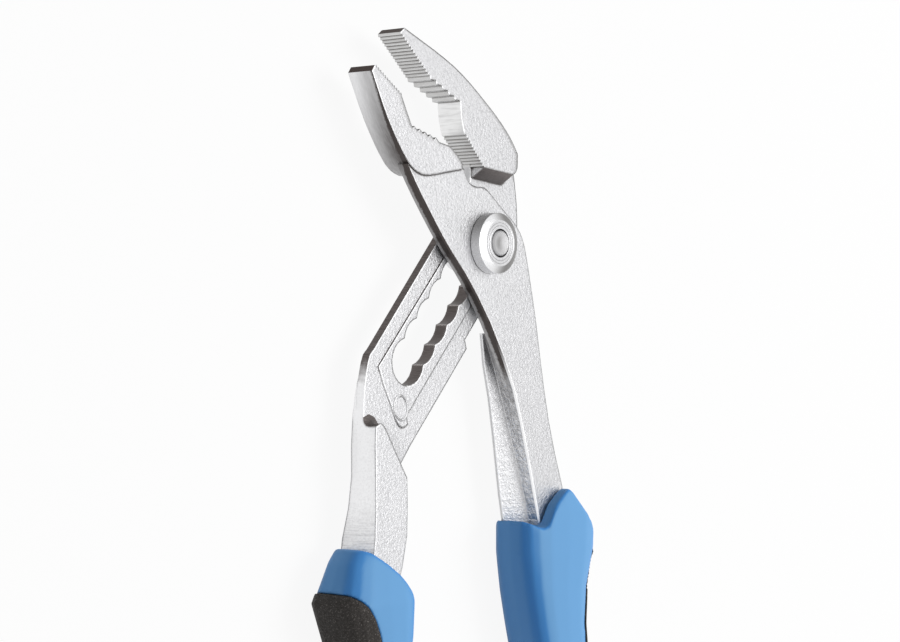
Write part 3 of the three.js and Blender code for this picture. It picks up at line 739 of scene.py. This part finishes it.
def front_arm(finishes):
    arm = cad_copy("front_arm", "front_arm_forging")

    def left_wall(point, normal):
        return normal.x < -0.25 and abs(normal.z) < NEARLY_UPRIGHT

    def left_bevel(point, normal):
        return normal.x < -0.4 and within(normal.z, BEVEL_LEAN) and point.z > BEVEL_LEVEL

    def teeth(point, normal):
        cut = abs(normal.z) < UPRIGHT and normal.y > 0.1
        return cut and point.y > LEFT_TEETH_LOW and point.x < LEFT_TEETH_END

    def hook_notch(point, normal):
        return teeth(point, normal) and normal.x < 0.1 and within(point.y, HOOK_ROWS)

    def tip(point, normal):
        end = abs(normal.z) < UPRIGHT and normal.y > 0.2 and normal.x < 0.2
        return end and point.y > LEFT_TIP_LOW

    face_finish(arm, finishes["forged_chrome"], None)
    face_finish(arm, finishes["forged_wall"], left_wall)
    face_finish(arm, finishes["edge_chamfer"], left_bevel)
    face_finish(arm, finishes["tooth_steel"], teeth)
    # Painted shade in the hook notches
    face_finish(arm, finishes["dark_steel"], hook_notch)
    face_finish(arm, finishes["tip_black"], tip)
    smooth(arm, FORGED_SMOOTH)
    dress(arm, "front_arm", "forged_chrome", "front_arm")


def cut_away(piece, tool):
    applied(piece, "BOOLEAN", operation="DIFFERENCE", object=tool, solver="EXACT")
    bpy.data.objects.remove(tool)


def corner_cutter():
    """What lies outside the round of the right jaw's lower corner, along the shoulder's slant."""
    deselect()
    half = CORNER_CUT / 2
    bpy.ops.mesh.primitive_cube_add(
        size=CORNER_CUT * MM, location=Vector((half, -half, 0)) * MM, scale=(1, 1, 2)
    )
    cutter = bpy.context.object
    bpy.ops.object.transform_apply(location=True, rotation=True, scale=True)
    deselect()
    bpy.ops.mesh.primitive_cylinder_add(
        vertices=CORNER_STEPS, radius=CORNER_RADIUS * MM, depth=CORNER_CUT * 3 * MM
    )
    cut_away(cutter, bpy.context.object)
    cutter.rotation_euler.x = math.radians(SHOULDER_SLANT)
    cutter.location = Vector(CORNER_MIDDLE) * MM
    pick(cutter)
    bpy.ops.object.transform_apply(location=True, rotation=True, scale=True)
    deselect()
    below = Vector((CORNER_MIDDLE[0], CORNER_MIDDLE[1], PLATE_FRONT - BLOCK_SIZE / 2)) * MM
    bpy.ops.mesh.primitive_cube_add(size=BLOCK_SIZE * MM, location=below)
    cut_away(cutter, bpy.context.object)
    return cutter


def slotted_arm(finishes):
    arm = cad_copy("slotted_arm", "slotted_arm_forging")
    cut_away(arm, corner_cutter())

    def slot_wall(point, normal):
        return abs(normal.z) < STEEP and in_slot(point)

    def left_side(point, normal):
        facing = abs(normal.z) < STEEP and normal.dot(SLOT_ACROSS) < -0.3
        plate = facing and point.x < PLATE_SIDE_END
        handle = point.y < HANDLE_TOP and normal.x < -0.2
        return (plate or handle) and point.y < LEFT_SIDE_TOP

    def teeth(point, normal):
        return abs(normal.z) < UPRIGHT and normal.x < -0.05 and point.y > RIGHT_TEETH_LOW

    def tip(point, normal):
        end = abs(normal.z) < UPRIGHT and normal.y > 0.2
        return end and point.y > RIGHT_TIP_LOW and point.x < RIGHT_TIP_END

    # Shoulder's slanted underside, given the milled walls' painted shade
    def shoulder(point, normal):
        under = normal.y < -0.3 and within(normal.z, SHOULDER_LEAN)
        return under and within(point.y, SHOULDER_ROWS)

    # Pocket floor, given the milled walls' painted shade
    def pocket(point, normal):
        place = within(point.x, POCKET_COLUMNS) and within(point.y, POCKET_ROWS)
        return place and normal.y > 0.12 and normal.x > -0.6

    def milled(point, normal):
        return slot_wall(point, normal) or shoulder(point, normal) or pocket(point, normal)

    face_finish(arm, finishes["forged_chrome"], None)
    face_finish(arm, finishes["satin_side"], left_side)
    face_finish(arm, finishes["milled_wall"], milled)
    face_finish(arm, finishes["tooth_steel"], teeth)
    face_finish(arm, finishes["tip_black"], tip)
    smooth(arm, FORGED_SMOOTH)
    dress(arm, "slotted_arm", "forged_chrome", "slotted_arm")
    return arm


def stamped_ring(arm, finish):
    """Blank oval ring raised on the plate below the slot."""
    bpy.context.view_layer.update()
    above = Vector((*RING_PLACE, RAY_START)) * MM
    _, place, _, _ = arm.ray_cast(above, Vector((0, 0, -1)))
    deselect()
    bpy.ops.mesh.primitive_torus_add(
        location=place, major_radius=RING_SIZE[0] * MM, minor_radius=RING_WIRE * MM,
        major_segments=RING_STEPS[0], minor_segments=RING_STEPS[1],
    )
    ring = bpy.context.object
    ring.name = "stamped_ring"
    ring.scale.y = RING_SIZE[1] / RING_SIZE[0]
    ring.rotation_euler.z = math.radians(RING_TILT)
    bpy.ops.object.transform_apply(location=True, rotation=True, scale=True)
    bpy.ops.object.shade_smooth()
    ring.data.materials.append(finish)
    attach(ring, "slotted_arm")


# Pivot


def turned_piece(name, profile, rounding=LATHE_ROUNDING):
    """A piece spun about the pivot axis from radius and height pairs in millimetres, corners eased."""
    deselect()
    first = Vector((profile[0][0], 0, profile[0][1])) * MM
    bpy.ops.mesh.primitive_circle_add(vertices=3, radius=MM, location=first)
    piece = bpy.context.object
    piece.name = name
    bpy.ops.object.transform_apply(location=True)
    bpy.ops.object.mode_set(mode="EDIT")
    bpy.ops.mesh.select_all(action="SELECT")
    bpy.ops.mesh.merge(type="CENTER")
    for (r0, z0), (r1, z1) in zip(profile, profile[1:]):
        step = Vector((r1 - r0, 0, z1 - z0)) * MM
        bpy.ops.mesh.extrude_vertices_move(TRANSFORM_OT_translate={"value": step})
    bpy.ops.mesh.select_all(action="SELECT")
    bpy.ops.mesh.remove_doubles(threshold=SPUN_MERGE)
    bpy.ops.object.mode_set(mode="OBJECT")
    for corner in piece.data.vertices:
        corner.select = corner.co.x > AXIS_NEAR
    bpy.ops.object.mode_set(mode="EDIT")
    bpy.ops.mesh.select_mode(type="VERT")
    if rounding:
        bpy.ops.mesh.bevel(affect="VERTICES", offset=rounding, segments=LATHE_SEGMENTS)
    bpy.ops.mesh.select_all(action="SELECT")
    bpy.ops.mesh.spin(steps=TURNED_STEPS, angle=2 * math.pi, center=(0, 0, 0), axis=(0, 0, 1))
    bpy.ops.mesh.select_all(action="SELECT")
    bpy.ops.mesh.remove_doubles(threshold=SPUN_MERGE)
    bpy.ops.mesh.normals_make_consistent(inside=False)
    bpy.ops.object.mode_set(mode="OBJECT")
    return piece


def drilled(piece, size, middle):
    """Cuts a box of that size in millimetres out of a piece."""
    deselect()
    bpy.ops.mesh.primitive_cube_add(size=MM, location=Vector(middle) * MM, scale=size)
    cut_away(piece, bpy.context.object)


def pivot_bolt(finish):
    low, high = (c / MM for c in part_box("pivot_bolt"))
    rings = []
    for radius in HEAD_GROOVES:
        rings.append((radius + RING_GROOVE, high.z))
        rings.append((radius, high.z - RING_GROOVE))
        rings.append((radius - RING_GROOVE, high.z))
    bolt = turned_piece("pivot_bolt_turned", [
        (0, low.z),
        (SHANK_RADIUS, low.z),
        (SHANK_RADIUS, SHANK_STEP),
        (SHOULDER_RADIUS, SHANK_STEP),
        (SHOULDER_RADIUS, HEAD_BASE),
        (high.x, HEAD_BASE),
        (high.x, high.z - HEAD_BEVEL_RISE),
        (HEAD_RING_RADIUS, high.z),
        *rings,
        (BUTTON_HOLE_RADIUS, high.z),
        (BUTTON_HOLE_RADIUS, SPRING_FLOOR),
        (STEM_HOLE_RADIUS, SPRING_FLOOR),
        (STEM_HOLE_RADIUS, BORE_END),
        (0, BORE_END),
    ], RING_GROOVE / 2 * MM)
    drilled(bolt, PIN_WINDOW, (0, 0, PIN_WINDOW_MIDDLE))
    smooth(bolt, BOLT_SMOOTH)
    bolt.data.materials.append(finish)
    dress(bolt, "front_arm", "turned_steel", "pivot_bolt")


def push_button(finish):
    low, high = (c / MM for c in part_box("push_button"))
    rim = high.x - BUTTON_EDGE
    shares = [1 - step / DISH_STEPS for step in range(DISH_STEPS + 1)]
    dish = [(rim * share, high.z - BUTTON_DISH * (1 - share ** 2)) for share in shares]
    button = turned_piece("push_button_turned", [
        (0, low.z),
        (STEM_RADIUS, low.z),
        (STEM_RADIUS, high.z - BUTTON_THICKNESS),
        (high.x, high.z - BUTTON_THICKNESS),
        (high.x, high.z - BUTTON_EDGE),
        *dish,
    ], 0)
    smooth(button, BUTTON_SMOOTH)
    button.data.materials.append(finish)
    dress(button, "push_button", "turned_steel", "push_button")


def ring_piece(node, name, body, slot, finish, hole):
    """A plain ring of the pivot, its outside from the frame and its hole in millimetres."""
    low, high = (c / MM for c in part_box(node))
    profile = [(hole, low.z), (high.x, low.z), (high.x, high.z), (hole, high.z), (hole, low.z)]
    ring = turned_piece(name, profile)
    smooth(ring, PLAIN_SMOOTH)
    ring.data.materials.append(finish)
    dress(ring, body, slot, node)


def rear_cap(finish):
    low, high = (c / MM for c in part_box("rear_cap"))
    cap = turned_piece("rear_cap_turned", [
        (CAP_HOLE, low.z),
        (high.x - CAP_CHAMFER, low.z),
        (high.x, low.z + CAP_CHAMFER),
        (high.x, high.z),
        (CAP_CAVITY, high.z),
        (CAP_CAVITY, CAP_FLOOR),
        (CAP_HOLE, CAP_FLOOR),
        (CAP_HOLE, low.z),
    ])
    smooth(cap, PLAIN_SMOOTH)
    cap.data.materials.append(finish)
    dress(cap, "front_arm", "turned_steel", "rear_cap")


def cross_pin(finish):
    low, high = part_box("cross_pin")
    deselect()
    radius = (high.z - low.z) / 2
    middle = (low + high) / 2
    quarter = math.pi / 2
    bpy.ops.mesh.primitive_cylinder_add(
        vertices=PIN_STEPS, radius=radius, depth=high.x - low.x, location=middle, rotation=(0, quarter, 0)
    )
    pin = bpy.context.object
    pin.name = "cross_pin_ground"
    bpy.ops.object.transform_apply(location=True, rotation=True)
    applied(pin, "BEVEL", width=PIN_ROUNDING, segments=LATHE_SEGMENTS, limit_method="ANGLE")
    smooth(pin, PLAIN_SMOOTH)
    pin.data.materials.append(finish)
    dress(pin, "push_button", "dark_steel", "cross_pin")


def return_spring(finish):
    """One wire wound up from its floor to the button."""
    low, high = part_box("return_spring")
    deselect()
    coil = high.x - SPRING_WIRE / 2
    foot = Vector((coil, 0, low.z + SPRING_WIRE / 2))
    bpy.ops.mesh.primitive_circle_add(
        vertices=SPRING_SIDES, radius=SPRING_WIRE / 2, location=foot, rotation=(math.pi / 2, 0, 0)
    )
    spring = bpy.context.object
    spring.name = "return_spring_wound"
    bpy.ops.object.transform_apply(location=True, rotation=True)
    rise = (high.z - low.z - SPRING_WIRE) / SPRING_TURNS
    steps = int(SPRING_TURNS * STEPS_PER_TURN)
    applied(spring, "SCREW", angle=2 * math.pi * SPRING_TURNS, screw_offset=rise * SPRING_TURNS,
            steps=steps, render_steps=steps, use_merge_vertices=False)
    pick(spring)
    bpy.ops.object.mode_set(mode="EDIT")
    bpy.ops.mesh.select_all(action="SELECT")
    bpy.ops.mesh.fill_holes(sides=0)
    bpy.ops.mesh.normals_make_consistent(inside=False)
    bpy.ops.object.mode_set(mode="OBJECT")
    smooth(spring, PLAIN_SMOOTH)
    spring.data.materials.append(finish)
    dress(spring, "front_arm", "dark_steel", "return_spring")
    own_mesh(spring)


def pivot(finishes):
    turned, dark = finishes["turned_steel"], finishes["dark_steel"]
    pivot_bolt(turned)
    push_button(turned)
    ring_piece("locking_collar", "locking_collar_turned", "push_button", "dark_steel", dark, COLLAR_HOLE)
    cross_pin(dark)
    return_spring(dark)
    ring_piece("thrust_washer", "thrust_washer_turned", "pivot_washer", "turned_steel", turned, WASHER_HOLE)
    rear_cap(turned)


# Grips


def seam_guard(piece, neighbour):
    """A vertex group that fades out beside the neighbour, so that rounding leaves the seam tight."""
    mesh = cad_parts[neighbour].data
    corners = [v.co for v in mesh.vertices]
    surface = BVHTree.FromPolygons(corners, [p.vertices[:] for p in mesh.polygons])
    group = piece.vertex_groups.new(name="open_skin")
    for vertex in piece.data.vertices:
        gap = surface.find_nearest(vertex.co)[3]
        group.add([vertex.index], min(max((gap - SEAM_KEEP) / SEAM_FADE, 0), 1), "REPLACE")
    return group.name


def rounded(piece, neighbour, rounds, seam_rounds):
    """Rounds a grip piece's corners as the mould leaves them, less so along the seam."""
    applied(piece, "SMOOTH", factor=SMOOTH_SHARE, iterations=seam_rounds)
    guard = seam_guard(piece, neighbour)
    applied(piece, "SMOOTH", factor=SMOOTH_SHARE, iterations=rounds, vertex_group=guard)


def finished_grip(piece, node, body, slot, finish):
    pick(piece)
    bpy.ops.object.shade_smooth()
    piece.data.materials.clear()
    piece.data.materials.append(finish)
    dress(piece, body, slot, node)


def grips(finishes):
    for side, body in (("front", "front_arm"), ("slotted", "slotted_arm")):
        blue, dark = finishes["blue_grip"], finishes["dark_inlay"]
        sleeve_node, inlay_node = f"{side}_grip_sleeve", f"{side}_grip_inlay"
        sleeve = cad_copy(sleeve_node, f"{side}_sleeve")
        applied(sleeve, "REMESH", mode="VOXEL", voxel_size=SLEEVE_VOXEL)
        rounded(sleeve, inlay_node, SLEEVE_ROUNDS, SLEEVE_SEAM_ROUNDS)
        finished_grip(sleeve, sleeve_node, body, "blue_grip", blue)
        inlay = cad_copy(inlay_node, f"{side}_inlay")
        applied(inlay, "REMESH", mode="VOXEL", voxel_size=INLAY_VOXEL)
        applied(inlay, "DISPLACE", strength=INLAY_SWELL, mid_level=0)
        rounded(inlay, sleeve_node, INLAY_ROUNDS, INLAY_SEAM_ROUNDS)
        finished_grip(inlay, inlay_node, body, "dark_inlay", dark)


# Studio


def studio():
    floor_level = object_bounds()[0].z - FLOOR_DROP
    deselect()
    bpy.ops.mesh.primitive_plane_add(size=FLOOR_SIZE, location=(0, 0, floor_level))
    floor = bpy.context.object
    floor.name = "floor"
    material, place, shader = new_finish("pale_floor")
    shader.inputs["Roughness"].default_value = FLOOR_ROUGHNESS
    shader.inputs["Specular IOR Level"].default_value = 0.0
    shade = noise(place, 3, 2)
    dark, light = FLOOR_TONES
    feed(shader, "Base Color", shade.blend(grey(dark), grey(light)))
    seen = white_seen(place)
    white = place.node("ShaderNodeEmission", None, {"Color": grey(1), "Strength": 1.0})
    output = material.node_tree.nodes["Material Output"]
    shadowed = Wire(place.tree, shader.outputs[0])
    mixed = place.node("ShaderNodeMixShader", None, {0: seen * FLOOR_WHITE, 1: shadowed, 2: white})
    place.tree.links.new(mixed.socket, output.inputs["Surface"])
    floor.data.materials.append(material)
    floor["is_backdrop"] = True

    world = bpy.data.worlds.new("studio")
    bpy.context.scene.world = world
    world.use_nodes = True
    tree = world.node_tree
    tree.nodes.clear()
    start = Wire(tree)
    seen = white_seen(start)
    strength = seen * (1 - AMBIENT) + AMBIENT
    sky = start.node("ShaderNodeBackground", None, {"Color": grey(1), "Strength": strength})
    start.node("ShaderNodeOutputWorld", None, {"Surface": sky})

    lamp("key", *KEY_LAMP)
    lamp("over", *OVER_LAMP, mirrored=False)


def white_seen(start):
    """1 for camera, glossy and transmission rays, which see plain white."""
    rays = start.node("ShaderNodeLightPath").socket.node.outputs
    seen = Wire(start.tree, rays["Is Camera Ray"])
    for kind in ("Is Glossy Ray", "Is Transmission Ray"):
        seen = seen + Wire(start.tree, rays[kind])
    return seen.clamped()


def lamp(name, place, size, power, mirrored=True):
    """A square soft box at a place in millimetres, facing the pivot; metal shows it if it is mirrored."""
    light = bpy.data.lights.new(name, "AREA")
    light.shape = "SQUARE"
    light.size = size * MM
    light.energy = power
    box = bpy.data.objects.new(name, light)
    bpy.context.scene.collection.objects.link(box)
    box.visible_glossy = mirrored
    box.location = Vector(place) * MM
    box.rotation_euler = (-box.location).to_track_quat("-Z", "Y").to_euler()


def camera():
    data = bpy.data.cameras.new("camera")
    data.lens = CAMERA_LENS
    data.sensor_width = SENSOR_WIDTH
    data.clip_start = NEAR_CLIP * MM
    eye = bpy.data.objects.new("camera", data)
    bpy.context.scene.collection.objects.link(eye)
    tilt = math.radians(CAMERA_TILT)
    right = Vector((math.cos(tilt), 0, math.sin(tilt)))
    back = Vector((-math.sin(tilt), 0, math.cos(tilt)))
    turn = Matrix((right, (0, 1, 0), back)).transposed()
    eye.matrix_world = Matrix.Translation(Vector(CAMERA_PLACE) * MM) @ turn.to_4x4()
    bpy.context.scene.camera = eye


finish_makers = (
    forged_chrome, satin_side, forged_wall, edge_chamfer, milled_wall, tip_black, tooth_steel,
    turned_steel, dark_steel, blue_grip, dark_inlay,
)
finishes = {maker.__name__: maker() for maker in finish_makers}
camera()
front_arm(finishes)
plate = slotted_arm(finishes)
stamped_ring(plate, finishes["forged_chrome"])
grips(finishes)
pivot(finishes)
studio()
bpy.context.scene.view_settings.view_transform = "Standard"
